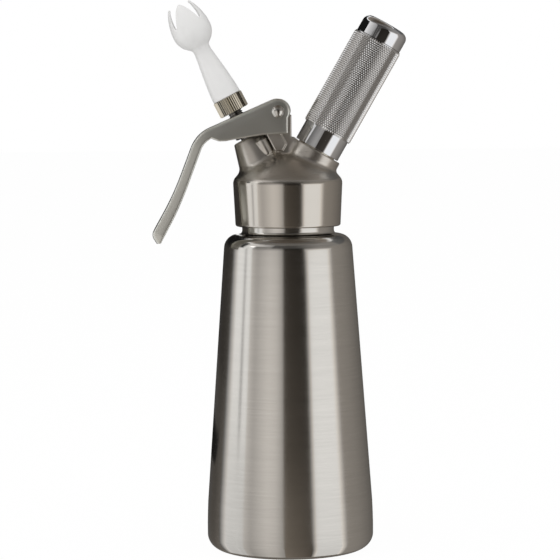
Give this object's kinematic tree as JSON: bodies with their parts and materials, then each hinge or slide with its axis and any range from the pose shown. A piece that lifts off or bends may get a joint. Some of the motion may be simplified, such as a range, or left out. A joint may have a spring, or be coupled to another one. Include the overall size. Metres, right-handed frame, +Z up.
{
  "type": "cream_whipper",
  "caption": "Steel cream whipper: tapered brushed bottle, screwed head with a squeeze lever, white slotted piping tip and a knurled charger holder.",
  "frame": {"origin": "centre of the bottle's flat base, on the bottle's axis", "axes": "+Z up the bottle, +X towards the charger holder, the lever and the tip at -X, +Y away from the camera"},
  "size_m": [0.1215, 0.08, 0.2636],
  "materials": {
    "brushed_steel": "brushed around the axis",
    "satin_casting": "satin polished casting",
    "satin_sheet": "tumbled satin sheet",
    "spring_steel": "polished",
    "charger_steel": "drawn and tumbled",
    "chrome": "polished",
    "nickel": "warm nickel plate",
    "brass": "turned",
    "white_plastic": "satin moulded",
    "silicone": "matt",
    "black_rubber": "matt"
  },
  "bodies": {
    "bottle": {"bottle": "brushed_steel"},
    "seal": {"head_gasket": "silicone"},
    "head": {"head_casting": "satin_casting", "valve_guide": "brass", "guide_o_ring": "black_rubber", "valve_spring": "spring_steel", "charger_stud": "nickel", "stud_o_ring": "black_rubber", "stud_nut": "nickel", "piercing_pin": "spring_steel", "charger_seal": "black_rubber", "inlet_sleeve": "silicone"},
    "lever": {"lever": "satin_sheet", "hinge_pin": "spring_steel"},
    "valve": {"valve_stem": "spring_steel", "poppet_seal": "silicone", "press_collar": "brass"},
    "washer": {"tip_washer": "silicone"},
    "tip": {"tip_ring": "nickel", "piping_tip": "white_plastic"},
    "charger": {"charger": "charger_steel", "charger_seal_disc": "nickel"},
    "holder": {"holder_tube": "chrome", "grip_sleeve": "chrome", "holder_cushion": "white_plastic"}
  },
  "joints": [
    {"name": "head_rise", "type": "slide", "parent": "bottle", "child": "seal", "axis": [0, 0, 1], "range_m": [0, 0.01]},
    {"name": "head_turn", "type": "hinge", "parent": "seal", "child": "head", "pos_m": [0, 0, 0.16], "axis": [0, 0, 1], "range_deg": [0, 900]},
    {"name": "lever_press", "type": "hinge", "parent": "head", "child": "lever", "pos_m": [-0.00469, 0, 0.21027], "axis": [0, -1, 0], "range_deg": [0, 14], "stiffness_Nm_per_rad": 0.65, "springref_deg": -5.73},
    {"name": "valve_travel", "type": "slide", "parent": "head", "child": "valve", "axis": [0.4602, 0, -0.8878], "range_m": [0, 0.00485], "deforming": ["valve_spring"]},
    {"name": "tip_rise", "type": "slide", "parent": "valve", "child": "washer", "axis": [-0.4602, 0, 0.8878], "range_m": [0, 0.005]},
    {"name": "tip_turn", "type": "hinge", "parent": "washer", "child": "tip", "pos_m": [0, 0, 0.1619], "axis": [-0.4602, 0, 0.8878], "range_deg": [0, 1800]},
    {"name": "charger_rise", "type": "slide", "parent": "head", "child": "charger", "axis": [0.5, 0, 0.866], "range_m": [0, 0.006]},
    {"name": "holder_turn", "type": "hinge", "parent": "charger", "child": "holder", "pos_m": [0, 0, 0.1676], "axis": [0.5, 0, 0.866], "range_deg": [0, 1440]}
  ],
  "couplings": [
    {"joint": "head_rise", "follows": "head_turn", "m_per_rad": 0.00063661},
    {"joint": "valve_travel", "follows": "lever_press", "m_per_rad": 0.019848},
    {"joint": "tip_rise", "follows": "tip_turn", "m_per_rad": 0.00015915},
    {"joint": "charger_rise", "follows": "holder_turn", "m_per_rad": 0.00023873}
  ]
}
